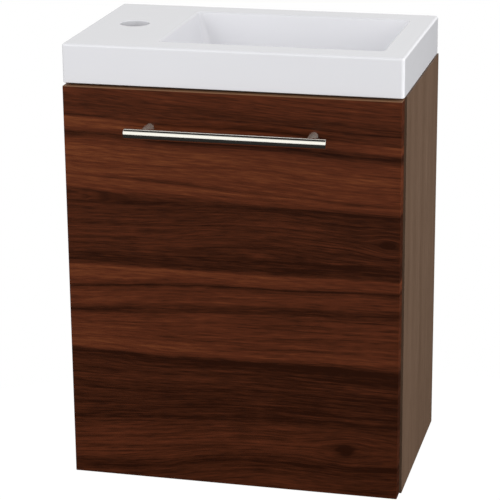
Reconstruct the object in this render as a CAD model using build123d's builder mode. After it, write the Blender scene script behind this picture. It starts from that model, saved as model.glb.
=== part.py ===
from build123d import *
import math
import os

os.makedirs("parts", exist_ok=True)

# Wall-hung vanity unit with a one-piece basin, in millimetres.
# X points right as seen from the front, Y back to the wall, Z up.
# The origin is on the wall, at the middle of the four screw holes of the wall plates.

# Carcass
unit_width = 400.0
carcass_height = 482.0
carcass_depth = 230.0
board = 15.0
carcass_top = 48.0
pipe_space = 16.0
front_rail_height = 40.0
lower_rail_height = 65.0
rear_rail_bottom = -62.0
rear_rail_shoulder = -36.0
hanger_bay = 57.0

# Basin
basin_setback = 1.0
basin_overhang = 15.0
rim_height = 46.0
deck_thickness = 12.0
side_skirt = 14.0
front_skirt = 30.0
back_skirt = 24.0
left_land = 106.5
right_land = 29.5
front_land = 34.0
back_land = 33.0
bowl_depth = 98.0
bowl_draft = 14.0
bowl_wall = 10.0
bowl_corner = 6.0
bowl_floor_corner = 16.0
bowl_floor_fillet = 14.0
rim_corner = 4.0
rim_edge = 3.0
bowl_lip = 3.5
base_edge = 1.0
tap_hole = 35.0
tap_from_left = 50.0
tap_from_back = 117.5
waste_hole = 46.0
waste_boss = 78.0
waste_boss_drop = 9.0
waste_seat = 66.0
waste_seat_depth = 2.0
seal_thickness = 0.8
seal_inset = 3.0
seal_width = 9.0
seal_rail_grip = 7.0
seal_lap = 1.0

# Door and handle
door_thickness = 18.0
door_gap = 2.0
side_reveal = 2.25
top_reveal = 1.5
bottom_reveal = 0.5
door_edge = 0.8
buffer_diameter = 8.0
buffer_play = 0.3
buffer_from_end = 30.0
handle_length = 234.0
handle_diameter = 12.0
handle_spacing = 192.0
handle_standoff = 32.0
handle_drop = 46.5
handle_offset = 2.0
handle_end_edge = 0.6
post_diameter = 10.0
post_socket = 3.0
handle_screw = 4.0
handle_screw_grip = 10.0
screw_head = 8.5
screw_head_height = 2.2

# Carcass joints
dowel_diameter = 8.0
dowel_length = 30.0
dowel_in_side = 10.0
cam_diameter = 15.0
cam_depth = 12.4
cam_from_end = 24.0
bolt_diameter = 7.0
bolt_thread = 5.0
bolt_in_side = 10.0
bolt_in_cam = 5.0
bottom_dowel_inset = 35.0
front_dowel_drop = 10.0
front_bolt_drop = 27.0
rear_dowel_rise = 19.0
rear_bolt_rise = 8.0
lower_dowel_rise = 48.0
lower_bolt_rise = 20.0
hole_spare = 1.0
fit = 0.1

# Concealed hinges. Their own plane has a measured from the left side's inner face into the
# cabinet and b measured from the carcass front edge towards the wall.
hinge_from_end = 95.0
cup_diameter = 35.0
cup_depth = 11.5
cup_wall = 0.8
cup_edge_distance = 5.0
cup_screw_spacing = 48.0
cup_screw_offset = 6.0
cup_flange_length = 62.0
cup_flange_width = 23.0
cup_flange_offset = 5.5
cup_flange = 1.2
cup_flange_corner = 6.0
cup_screw = 3.5
cup_screw_depth = 11.0
cup_screw_head = 7.0
cup_screw_head_height = 1.4
pin_radius = 1.2
knuckle = 2.2
outer_arm_pin = (24.0, 9.0)
outer_cup_pin = (-3.4, -3.0)
outer_link_bend = (1.5, -3.5)
inner_cup_pin = (-1.5, -7.4)
inner_arm_pin = (17.8, -8.0)
open_pivot_play = 1.65
open_pivot_wall = 1.1
running_fit = 0.05
link_half_width = 4.9
link_web = 2.4
inner_link_half_width = 2.6
strap_level = 2.95
strap_join = 1.5
nose_back = 13.0
nose_round = 3.2
nose_slope = 10.0
nose_back_slope = 8.0
side_play = 0.3
cheek = 1.4
arm_rise = 17.0
arm_foot = 9.0
arm_end = 70.0
plate_thickness = 2.0
plate_screw_line = 37.0
plate_screw_spacing = 32.0
plate_screw = 5.0
plate_screw_depth = 11.0
plate_wing_width = 15.0
plate_wing_length = 46.0
plate_wing_corner = 5.0
plate_rail_start = 21.0
plate_rail_end = 66.0
lug_width = 2.4
lug_margin = 2.4
cup_notch_depth = 3.2
cup_notch_play = 0.5
adjuster_lines = (29.0, 56.0)
adjuster = 4.0
adjuster_head = 6.4
adjuster_head_height = 1.4
adjuster_grip = 6.0
spring_strip = 0.8
spring_half_width = 4.0
spring_margin = 1.2

# Cabinet hangers and wall plates
plate_steel = 2.0
wall_hole = 7.0
wall_hole_spacing = 24.0
wall_hole_from_centre = 152.0
wall_plate_inner = 140.0
wall_plate_side_gap = 2.0
wall_plate_bottom = -20.0
wall_plate_joggle = 17.0
wall_plate_step = 6.0
wall_plate_bend = 45.0
hook_seat = 32.0
housing_width = 14.0
housing_wall = 2.0
housing_front = 84.0
housing_back = 34.0
housing_bottom = -24.0
housing_top = 42.0
peg_diameter = 10.0
peg_length = 9.0
peg_heights = (-14.0, 18.0)
hook_width = 6.0
hook_thickness = 4.0
hook_tip_drop = 8.0
hook_tip = 3.0
hook_tip_from_wall = 2.0
hook_body_front = 72.0
hook_body_back = 52.0
hook_body_bottom = 20.0
hanger_screw = 5.0
hanger_screw_head = 7.0
hanger_screw_head_height = 1.6
depth_screw_height = 28.0
height_screw_height = -6.0
height_screw_length = 22.0

# Places that follow from the sizes above
half_width = unit_width / 2
inner_half = half_width - board
carcass_bottom = carcass_top - carcass_height
basin_base = carcass_top + seal_thickness
basin_top = basin_base + rim_height
basin_width = unit_width - 2 * basin_setback
basin_depth = carcass_depth + basin_overhang
half_basin = basin_width / 2
door_back = -carcass_depth - door_gap
door_front = door_back - door_thickness
door_half = half_width - side_reveal
door_top = carcass_top - top_reveal
door_bottom = carcass_bottom + bottom_reveal
rail_front = -pipe_space - board
handle_height = basin_base - handle_drop
handle_axis_y = door_front - handle_standoff
hinge_heights = {
    "lower": carcass_bottom + hinge_from_end,
    "upper": carcass_top - hinge_from_end,
}
cup_a = side_reveal - board + cup_edge_distance + cup_diameter / 2
cup_x = cup_a - inner_half


def save(piece, name):
    """Label a finished sub-part and write its STEP file."""
    piece.part.label = name
    export_step(piece.part, f"parts/{name}.step")


def block(x, y, z, mode=Mode.ADD):
    """A square-edged block between three pairs of limits."""
    with BuildSketch(Plane.XY.offset(z[0])) as outline:
        with Locations(((x[0] + x[1]) / 2, (y[0] + y[1]) / 2)):
            Rectangle(x[1] - x[0], y[1] - y[0])
    extrude(outline.sketch, amount=z[1] - z[0], mode=mode)


def rods(plane, points, radius, length, mode=Mode.ADD):
    """Round rods, or holes in Mode.SUBTRACT, that stand on a plane at local points."""
    with BuildSketch(plane) as circles:
        with Locations(*points):
            Circle(radius)
    extrude(circles.sketch, amount=length, mode=mode)


# Where the rails and the bottom meet the sides: places in Y and Z of one dowel and one cam each.
bottom_mid = carcass_bottom + board / 2
front_rail_mid = -carcass_depth + board / 2
rear_rail_mid = rail_front + board / 2
lower_rail_bottom = carcass_bottom + board
dowel_points = [
    (bottom_dowel_inset - carcass_depth, bottom_mid),
    (-bottom_dowel_inset, bottom_mid),
    (front_rail_mid, carcass_top - front_dowel_drop),
    (rear_rail_mid, rear_rail_bottom + rear_dowel_rise),
    (rear_rail_mid, lower_rail_bottom + lower_dowel_rise),
]
bolt_points = {
    "bottom": (-carcass_depth / 2, bottom_mid),
    "front": (front_rail_mid, carcass_top - front_bolt_drop),
    "rear": (rear_rail_mid, rear_rail_bottom + rear_bolt_rise),
    "lower": (rear_rail_mid, lower_rail_bottom + lower_bolt_rise),
}


def end_holes(sign, dowels, bolts):
    """Holes in the end face of a board for its dowels and cam bolts."""
    face = Plane.YZ.offset(sign * inner_half)
    inward = -sign
    if dowels:
        rods(face, dowels, dowel_diameter / 2 + fit,
             inward * (dowel_length - dowel_in_side + hole_spare), Mode.SUBTRACT)
    rods(face, bolts, bolt_diameter / 2 + fit, inward * cam_from_end, Mode.SUBTRACT)


def cam_plane(name):
    """The board face that a cam is let into, and the cam's centre line on it."""
    y, z = bolt_points[name]
    if name == "bottom":
        return Plane(origin=(0, y, carcass_bottom), x_dir=(1, 0, 0), z_dir=(0, 0, 1))
    if name == "front":
        return Plane(origin=(0, -carcass_depth + board, z), x_dir=(1, 0, 0), z_dir=(0, -1, 0))
    return Plane(origin=(0, rail_front, z), x_dir=(1, 0, 0), z_dir=(0, 1, 0))


cam_ends = [(-inner_half + cam_from_end, 0), (inner_half - cam_from_end, 0)]


def cam_pockets(name):
    """Blind round pockets for the two cams of a board."""
    rods(cam_plane(name), cam_ends, cam_diameter / 2 + fit, cam_depth + fit, Mode.SUBTRACT)


# Side panels, drilled on their inner faces
def side_panel(sign):
    """One side panel: sign -1 is the left, which also carries the hinges."""
    face = Plane.YZ.offset(sign * inner_half)
    with BuildPart() as panel:
        block(sorted((sign * inner_half, sign * half_width)), (-carcass_depth, 0),
              (carcass_bottom, carcass_top))
        rods(face, dowel_points, dowel_diameter / 2 + fit,
             sign * (dowel_in_side + fit), Mode.SUBTRACT)
        rods(face, list(bolt_points.values()), bolt_thread / 2 + fit,
             sign * (bolt_in_side + fit), Mode.SUBTRACT)
        rods(face, [(-(housing_front + housing_back) / 2, z) for z in peg_heights],
             peg_diameter / 2 + fit, sign * (peg_length + fit), Mode.SUBTRACT)
        if sign < 0:
            screws = [(plate_screw_line - carcass_depth, z + side * plate_screw_spacing / 2)
                      for z in hinge_heights.values() for side in (-1, 1)]
            rods(face, screws, plate_screw / 2 + fit,
                 sign * (plate_screw_depth + fit), Mode.SUBTRACT)
    return panel


for sign, side in ((-1, "left"), (1, "right")):
    save(side_panel(sign), f"{side}_side_panel")

# Bottom panel
with BuildPart() as bottom_panel:
    block((-inner_half, inner_half), (-carcass_depth, 0), (carcass_bottom, carcass_bottom + board))
    for sign in (-1, 1):
        end_holes(sign, dowel_points[:2], [bolt_points["bottom"]])
    cam_pockets("bottom")
save(bottom_panel, "bottom_panel")

# Front rail, upright under the basin's front edge
with BuildPart() as front_rail:
    block((-inner_half, inner_half), (-carcass_depth, -carcass_depth + board),
          (carcass_top - front_rail_height, carcass_top))
    for sign in (-1, 1):
        end_holes(sign, [dowel_points[2]], [bolt_points["front"]])
    cam_pockets("front")
save(front_rail, "front_rail")

# Rear rail, cut away at both top corners to let the hanger hooks through to the wall
bay_edge = inner_half - hanger_bay
with BuildPart() as rear_rail:
    with BuildSketch(Plane.XZ.offset(pipe_space)):
        with BuildLine():
            Polyline(
                (-inner_half, rear_rail_bottom), (inner_half, rear_rail_bottom),
                (inner_half, rear_rail_shoulder), (bay_edge, rear_rail_shoulder),
                (bay_edge, carcass_top), (-bay_edge, carcass_top),
                (-bay_edge, rear_rail_shoulder), (-inner_half, rear_rail_shoulder),
                close=True,
            )
        make_face()
    extrude(amount=board)
    for sign in (-1, 1):
        end_holes(sign, [dowel_points[3]], [bolt_points["rear"]])
    cam_pockets("rear")
save(rear_rail, "rear_rail")

# Lower rear rail, standing on the bottom panel
with BuildPart() as lower_rear_rail:
    block((-inner_half, inner_half), (rail_front, -pipe_space),
          (lower_rail_bottom, lower_rail_bottom + lower_rail_height))
    for sign in (-1, 1):
        end_holes(sign, [dowel_points[4]], [bolt_points["lower"]])
    cam_pockets("lower")
save(lower_rear_rail, "lower_rear_rail")

# Dowels
with BuildPart() as dowels:
    for sign in (-1, 1):
        rods(Plane.YZ.offset(sign * (inner_half + dowel_in_side)), dowel_points,
             dowel_diameter / 2, -sign * dowel_length)
save(dowels, "dowels")

# Cam bolts: a thin threaded end in the side, a thicker shank that ends inside the cam
with BuildPart() as cam_bolts:
    shank_end = cam_from_end - cam_diameter / 2 + bolt_in_cam
    for sign in (-1, 1):
        face = Plane.YZ.offset(sign * inner_half)
        rods(face, list(bolt_points.values()), bolt_thread / 2, sign * bolt_in_side)
        rods(face, list(bolt_points.values()), bolt_diameter / 2, -sign * shank_end)
save(cam_bolts, "cam_bolts")

# Cams: round discs with a mouth for the bolt
with BuildPart() as cam_locks:
    for name in bolt_points:
        rods(cam_plane(name), cam_ends, cam_diameter / 2, cam_depth)
    for sign in (-1, 1):
        rods(Plane.YZ.offset(sign * inner_half), list(bolt_points.values()),
             bolt_diameter / 2 + fit, -sign * (shank_end + fit), Mode.SUBTRACT)
save(cam_locks, "cam_locks")

# Basin: a rim block hollow underneath, with a drafted rectangular bowl hung in it
basin_mid_y = -basin_depth / 2
bowl_x = (left_land - right_land) / 2
bowl_y = (front_land - back_land) / 2 + basin_mid_y
bowl_width = basin_width - left_land - right_land
bowl_length = basin_depth - front_land - back_land
draft_run = math.tan(math.radians(bowl_draft))
tap_x = tap_from_left - half_basin


def bowl_section(depth, grow, corner):
    """A rounded rectangle of the bowl at a depth under the rim, grown outwards by a wall."""
    inset = depth * draft_run - grow
    with BuildSketch(Plane.XY.offset(basin_top - depth)) as section:
        with Locations((bowl_x, bowl_y)):
            RectangleRounded(bowl_width - 2 * inset, bowl_length - 2 * inset, corner)
    return section.sketch


with BuildPart() as basin:
    with BuildSketch(Plane.XY.offset(basin_base)):
        with Locations((0, basin_mid_y)):
            RectangleRounded(basin_width, basin_depth, rim_corner)
    extrude(amount=rim_height)
    fillet(basin.faces().sort_by(Axis.Z)[-1].edges(), radius=rim_edge)
    fillet(basin.faces().sort_by(Axis.Z)[0].outer_wire().edges(), radius=base_edge)
    block((side_skirt - half_basin, half_basin - side_skirt),
          (front_skirt - basin_depth, -back_skirt),
          (basin_base, basin_top - deck_thickness), Mode.SUBTRACT)
    loft([bowl_section(deck_thickness / 2, bowl_wall, bowl_corner + bowl_wall),
          bowl_section(bowl_depth + bowl_wall, bowl_wall, bowl_floor_corner + bowl_wall)])
    rods(Plane.XY.offset(basin_top - bowl_depth - bowl_wall - waste_boss_drop),
         [(bowl_x, bowl_y)], waste_boss / 2, waste_boss_drop + bowl_wall / 2)
    loft([bowl_section(0, 0, bowl_corner), bowl_section(bowl_depth, 0, bowl_floor_corner)],
         mode=Mode.SUBTRACT)
    floor_face = basin.faces().filter_by(Plane.XY).sort_by(
        lambda face: abs(face.center().Z - basin_top + bowl_depth))[0]
    fillet(floor_face.outer_wire().edges(), radius=bowl_floor_fillet)
    lip_face = basin.faces().filter_by(Plane.XY).sort_by(Axis.Z)[-1]
    fillet(lip_face.inner_wires()[0].edges(), radius=bowl_lip)
    rods(Plane.XY.offset(basin_top), [(tap_x, -tap_from_back)], tap_hole / 2,
         -2 * deck_thickness, Mode.SUBTRACT)
    rods(Plane.XY.offset(basin_top - bowl_depth - waste_seat_depth), [(bowl_x, bowl_y)],
         waste_seat / 2, bowl_depth / 2, Mode.SUBTRACT)
    rods(Plane.XY.offset(basin_top - bowl_depth), [(bowl_x, bowl_y)], waste_hole / 2,
         -2 * (bowl_wall + waste_boss_drop), Mode.SUBTRACT)
save(basin, "basin")

# Bed of sealant between the carcass and the basin
with BuildPart() as basin_seal:
    seal_x = half_width - seal_inset
    seal_front = seal_lap - carcass_depth
    seal_back = -pipe_space - seal_lap
    block((-seal_x, seal_x), (seal_front, seal_back), (carcass_top, basin_base))
    block((seal_width - seal_x, seal_x - seal_width),
          (seal_front + seal_rail_grip, seal_back - seal_rail_grip),
          (carcass_top, basin_base), Mode.SUBTRACT)
save(basin_seal, "basin_seal")

# Door, bored on its back face for the hinge cups and drilled through for the handle
door_back_plane = Plane.XZ.offset(-door_back)
door_front_plane = Plane.XZ.offset(-door_front)
handle_points = [(handle_offset + side * handle_spacing / 2, handle_height) for side in (-1, 1)]
cup_points = [(cup_x, z) for z in hinge_heights.values()]
cup_screw_points = [(cup_x + cup_screw_offset, z + side * cup_screw_spacing / 2)
                    for z in hinge_heights.values() for side in (-1, 1)]
with BuildPart() as door:
    block((-door_half, door_half), (door_front, door_back), (door_bottom, door_top))
    fillet(door.edges(), radius=door_edge)
    rods(door_back_plane, cup_points, cup_diameter / 2, cup_depth + fit, Mode.SUBTRACT)
    rods(door_back_plane, cup_screw_points, cup_screw / 2 + fit,
         cup_screw_depth + fit, Mode.SUBTRACT)
    rods(door_back_plane, handle_points, handle_screw / 2 + fit, door_thickness, Mode.SUBTRACT)
    rods(door_back_plane, handle_points, screw_head / 2 + fit, screw_head_height + fit,
         Mode.SUBTRACT)
save(door, "door")

with BuildPart() as door_buffers:
    buffer_x = (inner_half + door_half) / 2
    rods(door_back_plane,
         [(buffer_x, door_top - buffer_from_end), (buffer_x, door_bottom + buffer_from_end)],
         buffer_diameter / 2, buffer_play - door_gap)
save(door_buffers, "door_buffers")

# Bar handle: a round bar on two posts, screwed from inside the door
bar_radius = handle_diameter / 2
socket_floor = handle_standoff - bar_radius + post_socket
with BuildPart() as handle_bar:
    rods(Plane.YZ.offset(handle_offset - handle_length / 2), [(handle_axis_y, handle_height)],
         bar_radius, handle_length)
    ends = handle_bar.edges().filter_by(GeomType.CIRCLE)
    fillet(ends, radius=handle_end_edge)
    rods(door_front_plane, handle_points, post_diameter / 2 + fit, socket_floor, Mode.SUBTRACT)
save(handle_bar, "handle_bar")

with BuildPart() as handle_posts:
    rods(door_front_plane, handle_points, post_diameter / 2, socket_floor)
    rods(door_front_plane, handle_points, handle_screw / 2 + fit,
         handle_screw_grip + fit, Mode.SUBTRACT)
save(handle_posts, "handle_posts")

with BuildPart() as handle_screws:
    head_plane = door_back_plane.offset(screw_head_height)
    rods(head_plane, handle_points, handle_screw / 2,
         door_thickness - screw_head_height + handle_screw_grip)
    rods(head_plane, handle_points, screw_head / 2, -screw_head_height)
save(handle_screws, "handle_screws")


# Concealed hinges
def hinge_plane(z):
    """The hinge's own plane at a height: a along X from the side panel, b along Y."""
    return Plane(origin=(-inner_half, -carcass_depth, z))


def link_outline(z, path, knuckles, eyes):
    """Outline of a link at a height: a web along its path and a drilled knuckle at each end."""
    with BuildSketch(hinge_plane(z)) as outline:
        with BuildLine():
            Polyline(*path)
        trace(line_width=link_web)
        for centre, radius in zip((path[0], path[-1]), knuckles):
            with Locations(centre):
                Circle(radius)
        for centre, radius in zip((path[0], path[-1]), eyes):
            with Locations(centre):
                Circle(radius, mode=Mode.SUBTRACT)
    return outline.sketch


cup_outer = cup_diameter / 2 - fit
cup_inner = cup_outer - cup_wall
cup_floor_b = -door_gap - cup_depth
arm_inner_width = link_half_width + side_play
arm_half_width = arm_inner_width + cheek
nose_a = outer_arm_pin[0] + knuckle + side_play + cheek
open_eye = pin_radius + open_pivot_play
open_knuckle = open_eye + open_pivot_wall
pin_eye = pin_radius + running_fit


def outer_link(z):
    """Outer link: two straps, joined around the arm pin, that leave the middle free."""
    path = (outer_arm_pin, outer_link_bend, outer_cup_pin)
    with BuildPart() as piece:
        extrude(link_outline(z - link_half_width, path, (knuckle, knuckle), (pin_eye, pin_eye)),
                amount=2 * link_half_width)
        with BuildSketch(hinge_plane(z - strap_level)) as window:
            with BuildLine():
                Polyline(*path)
            trace(line_width=3 * link_web)
            with Locations(outer_cup_pin):
                Circle(2 * knuckle)
            with Locations(outer_arm_pin):
                Circle(knuckle + strap_join, mode=Mode.SUBTRACT)
        extrude(window.sketch, amount=2 * strap_level, mode=Mode.SUBTRACT)
    return piece


def inner_link(z):
    """Inner link: a narrow web with a full-width knuckle on the cup pin and an open eye."""
    path = (inner_cup_pin, inner_arm_pin)
    with BuildPart() as piece:
        extrude(link_outline(z - inner_link_half_width, path, (knuckle, open_knuckle),
                             (pin_eye, open_eye)), amount=2 * inner_link_half_width)
        with BuildSketch(hinge_plane(z - link_half_width)) as barrel:
            with Locations(inner_cup_pin):
                Circle(knuckle)
                Circle(pin_eye, mode=Mode.SUBTRACT)
        extrude(barrel.sketch, amount=2 * link_half_width)
    return piece


def hinge_cup(z):
    """Round cup with its flange and the two lugs that hold the link pins."""
    with BuildPart() as piece:
        lug_left = cup_a - cup_outer
        lug_right = inner_cup_pin[0] + lug_margin
        lug_top = outer_cup_pin[1] + lug_margin - cup_wall
        with BuildSketch(hinge_plane(z - arm_inner_width - lug_width)) as lugs:
            with BuildLine():
                Polyline((lug_left, cup_floor_b), (lug_right, cup_floor_b),
                         (lug_right, inner_cup_pin[1] + lug_margin),
                         (outer_cup_pin[0] + lug_margin, lug_top),
                         (lug_left, lug_top), close=True)
            make_face()
        extrude(lugs.sketch, amount=2 * (arm_inner_width + lug_width))
        block((lug_left - inner_half, lug_right - inner_half),
              (cup_floor_b - carcass_depth, -carcass_depth),
              (z - arm_inner_width, z + arm_inner_width), Mode.SUBTRACT)
        rods(door_back_plane.offset(-door_gap), [(cup_x, z)], cup_inner + cup_wall / 2,
             2 * cup_depth, Mode.INTERSECT)
        with BuildSketch(door_back_plane) as wall:
            with Locations((cup_x, z)):
                Circle(cup_outer)
                Circle(cup_inner, mode=Mode.SUBTRACT)
        extrude(wall.sketch, amount=cup_depth)
        block((lug_left - cup_wall - inner_half, outer_cup_pin[0] - inner_half),
              (-door_gap - cup_notch_depth - carcass_depth, -door_gap - carcass_depth),
              (z - inner_link_half_width - cup_notch_play, z + inner_link_half_width + cup_notch_play),
              Mode.SUBTRACT)
        rods(door_back_plane.offset(cup_depth - cup_wall), [(cup_x, z)], cup_outer, cup_wall)
        with BuildSketch(door_back_plane) as flange:
            with Locations((cup_x + cup_flange_offset, z)):
                RectangleRounded(cup_flange_width, cup_flange_length, cup_flange_corner)
            with Locations((cup_x, z)):
                Circle(cup_inner, mode=Mode.SUBTRACT)
            with Locations(*[(x, height) for x, height in cup_screw_points
                             if abs(height - z) < cup_flange_length / 2]):
                Circle(cup_screw / 2 + fit, mode=Mode.SUBTRACT)
        extrude(flange.sketch, amount=-cup_flange)
        rods(hinge_plane(z - arm_half_width - lug_width), [outer_cup_pin, inner_cup_pin],
             pin_radius + running_fit, 2 * (arm_half_width + lug_width), Mode.SUBTRACT)
    return piece


def hinge_arm(z):
    """Channel-shaped arm: its nose carries the two arm pins and reaches into the cup."""
    web = arm_rise - cheek
    with BuildPart() as piece:
        with BuildSketch(hinge_plane(z - arm_half_width)) as outline:
            with BuildLine():
                Polyline((arm_foot, arm_end), (arm_rise, arm_end), (arm_rise, nose_back + nose_slope),
                         (nose_a, nose_back), (nose_a, outer_arm_pin[1] - knuckle),
                         (inner_arm_pin[0] + nose_round, inner_arm_pin[1]),
                         (inner_arm_pin[0] - nose_round, inner_arm_pin[1]),
                         (inner_arm_pin[0] - knuckle, outer_arm_pin[1]),
                         (arm_foot, nose_back + nose_back_slope), close=True)
            make_face()
            with Locations(inner_arm_pin):
                Circle(nose_round)
        extrude(outline.sketch, amount=2 * arm_half_width)
        with BuildSketch(hinge_plane(z - arm_inner_width)) as pocket:
            with BuildLine():
                Polyline((0, arm_end), (web, arm_end), (web, nose_back + nose_slope - cheek / 2),
                         (nose_a - cheek, nose_back - cheek / 2),
                         (nose_a - cheek, outer_arm_pin[1] - knuckle),
                         (nose_a + cheek, outer_arm_pin[1] - knuckle),
                         (nose_a + cheek, cup_floor_b), (0, cup_floor_b), close=True)
            make_face()
        extrude(pocket.sketch, amount=2 * arm_inner_width, mode=Mode.SUBTRACT)
        rods(hinge_plane(z - arm_half_width), [outer_arm_pin, inner_arm_pin],
             pin_radius + running_fit, 2 * arm_half_width, Mode.SUBTRACT)
        rods(Plane.YZ.offset(arm_rise - inner_half), [(b - carcass_depth, z) for b in adjuster_lines],
             adjuster / 2 + fit, -cheek, Mode.SUBTRACT)
    return piece


def hinge_plate(z):
    """Mounting plate: two screwed wings and the rail that the arm slides on."""
    inner_face = Plane.YZ.offset(-inner_half)
    with BuildPart() as piece:
        with BuildSketch(inner_face) as wings:
            with Locations((plate_screw_line - carcass_depth, z)):
                RectangleRounded(plate_wing_width, plate_wing_length, plate_wing_corner)
            with Locations(((plate_rail_start + plate_rail_end) / 2 - carcass_depth, z)):
                Rectangle(plate_rail_end - plate_rail_start, 2 * arm_half_width)
            with Locations(*[(plate_screw_line - carcass_depth, z + side * plate_screw_spacing / 2)
                             for side in (-1, 1)]):
                Circle(plate_screw / 2 + fit, mode=Mode.SUBTRACT)
        extrude(wings.sketch, amount=plate_thickness)
        block((-inner_half, arm_rise - cheek - inner_half),
              (plate_rail_start - carcass_depth, plate_rail_end - carcass_depth),
              (z - link_half_width, z + link_half_width))
        rods(Plane.YZ.offset(arm_rise - cheek - inner_half),
             [(b - carcass_depth, z) for b in adjuster_lines], adjuster / 2 + fit,
             -adjuster_grip, Mode.SUBTRACT)
    return piece


def hinge_spring(z):
    """Flat spring bent under the arm's nose, bearing towards the outer link's eye."""
    seat = nose_back - cheek / 2 - spring_strip / math.sqrt(2) - fit
    with BuildPart() as piece:
        with BuildSketch(hinge_plane(z - spring_half_width)) as strip:
            with BuildLine():
                Polyline((arm_rise - cheek + spring_margin, seat + nose_slope - spring_margin),
                         (nose_a - cheek - spring_margin, seat + spring_margin),
                         (outer_arm_pin[0] - knuckle / 2, outer_arm_pin[1] + knuckle + spring_strip))
            trace(line_width=spring_strip)
        extrude(strip.sketch, amount=2 * spring_half_width)
    return piece


for which, z in hinge_heights.items():
    save(hinge_cup(z), f"{which}_hinge_cup")
    save(outer_link(z), f"{which}_hinge_outer_link")
    save(inner_link(z), f"{which}_hinge_inner_link")
    save(hinge_arm(z), f"{which}_hinge_arm")
    save(hinge_plate(z), f"{which}_hinge_plate")
    save(hinge_spring(z), f"{which}_hinge_spring")

with BuildPart() as hinge_arm_pins:
    for z in hinge_heights.values():
        rods(hinge_plane(z - arm_half_width), [outer_arm_pin, inner_arm_pin],
             pin_radius, 2 * arm_half_width)
save(hinge_arm_pins, "hinge_arm_pins")

with BuildPart() as hinge_cup_pins:
    lug_outer = arm_inner_width + lug_width
    for z in hinge_heights.values():
        rods(hinge_plane(z - lug_outer), [inner_cup_pin], pin_radius, 2 * lug_outer)
        for side in (-1, 1):
            rods(hinge_plane(z + side * lug_outer), [outer_cup_pin], pin_radius,
                 side * (strap_level - lug_outer))
save(hinge_cup_pins, "hinge_cup_pins")

with BuildPart() as hinge_cup_screws:
    rods(door_back_plane, cup_screw_points, cup_screw / 2, cup_screw_depth)
    rods(door_back_plane, cup_screw_points, cup_screw / 2, -cup_flange)
    rods(door_back_plane.offset(-cup_flange), cup_screw_points, cup_screw_head / 2,
         -cup_screw_head_height)
save(hinge_cup_screws, "hinge_cup_screws")

with BuildPart() as hinge_plate_screws:
    plate_screw_points = [(plate_screw_line - carcass_depth, z + side * plate_screw_spacing / 2)
                          for z in hinge_heights.values() for side in (-1, 1)]
    plate_face = Plane.YZ.offset(plate_thickness - inner_half)
    rods(plate_face, plate_screw_points, plate_screw / 2,
         -(plate_thickness + plate_screw_depth))
    rods(plate_face, plate_screw_points, screw_head / 2, screw_head_height)
save(hinge_plate_screws, "hinge_plate_screws")

with BuildPart() as hinge_adjusters:
    adjuster_points = [(b - carcass_depth, z) for z in hinge_heights.values()
                       for b in adjuster_lines]
    arm_face = Plane.YZ.offset(arm_rise - inner_half)
    rods(arm_face, adjuster_points, adjuster / 2, -(cheek + adjuster_grip))
    rods(arm_face, adjuster_points, adjuster_head / 2, adjuster_head_height)
save(hinge_adjusters, "hinge_adjusters")

# Cabinet hangers in the two rear top corners, and the wall plates that their hooks hang on
hanger_x = inner_half - housing_width / 2


def side_span(sign, near, far):
    """Limits in X between two distances from the unit's middle, on one side of it."""
    return sorted((sign * near, sign * far))


def wall_plate(sign):
    """Steel plate flat on the wall, with its top lip stepped forward."""
    low, high = side_span(sign, wall_plate_inner, inner_half - wall_plate_side_gap)
    bend = plate_steel * math.tan(math.radians(wall_plate_bend / 2))
    with BuildPart() as piece:
        with BuildSketch(Plane.YZ.offset(low)) as section:
            with BuildLine():
                Polyline((0, wall_plate_bottom), (-plate_steel, wall_plate_bottom),
                         (-plate_steel, wall_plate_joggle),
                         (-plate_steel - wall_plate_step, wall_plate_joggle + wall_plate_step),
                         (-plate_steel - wall_plate_step, hook_seat),
                         (-wall_plate_step, hook_seat),
                         (-wall_plate_step, wall_plate_joggle + wall_plate_step - bend),
                         (0, wall_plate_joggle - bend), close=True)
            make_face()
        extrude(section.sketch, amount=high - low)
        rods(Plane.XZ, [(sign * wall_hole_from_centre, side * wall_hole_spacing / 2)
                        for side in (-1, 1)], wall_hole / 2, plate_steel, Mode.SUBTRACT)
    return piece


def hanger_housing(sign):
    """Box pegged to the side panel, open at the back for the hook."""
    outer = side_span(sign, inner_half - housing_width, inner_half)
    inner = side_span(sign, inner_half - housing_width + housing_wall, inner_half - housing_wall)
    with BuildPart() as piece:
        block(outer, (-housing_front, -housing_back), (housing_bottom, housing_top))
        block(inner, (housing_wall - housing_front, -housing_back),
              (housing_bottom + housing_wall, housing_top - housing_wall), Mode.SUBTRACT)
        rods(Plane.YZ.offset(sign * inner_half),
             [(-(housing_front + housing_back) / 2, z) for z in peg_heights],
             peg_diameter / 2, sign * peg_length)
        rods(Plane.XZ.offset(housing_front), [(sign * hanger_x, depth_screw_height),
                                              (sign * hanger_x, height_screw_height)],
             hanger_screw / 2 + fit, -housing_wall, Mode.SUBTRACT)
    return piece


def hanger_hook(sign):
    """Hook: a body in the housing, a tongue to the wall and a tip behind the plate's lip."""
    low, high = side_span(sign, hanger_x - hook_width / 2, hanger_x + hook_width / 2)
    hook_top = hook_seat + hook_thickness
    tip_front = -hook_tip_from_wall - hook_tip
    with BuildPart() as piece:
        with BuildSketch(Plane.YZ.offset(low)) as section:
            with BuildLine():
                Polyline((-hook_body_front, hook_top), (-hook_tip_from_wall, hook_top),
                         (-hook_tip_from_wall, hook_seat - hook_tip_drop),
                         (tip_front, hook_seat - hook_tip_drop), (tip_front, hook_seat),
                         (-hook_body_back, hook_seat), (-hook_body_back, hook_body_bottom),
                         (-hook_body_front, hook_body_bottom), close=True)
            make_face()
        extrude(section.sketch, amount=high - low)
    return piece


for sign, side in ((-1, "left"), (1, "right")):
    save(wall_plate(sign), f"{side}_wall_plate")
    save(hanger_housing(sign), f"{side}_hanger_housing")
    save(hanger_hook(sign), f"{side}_hanger_hook")

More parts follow.
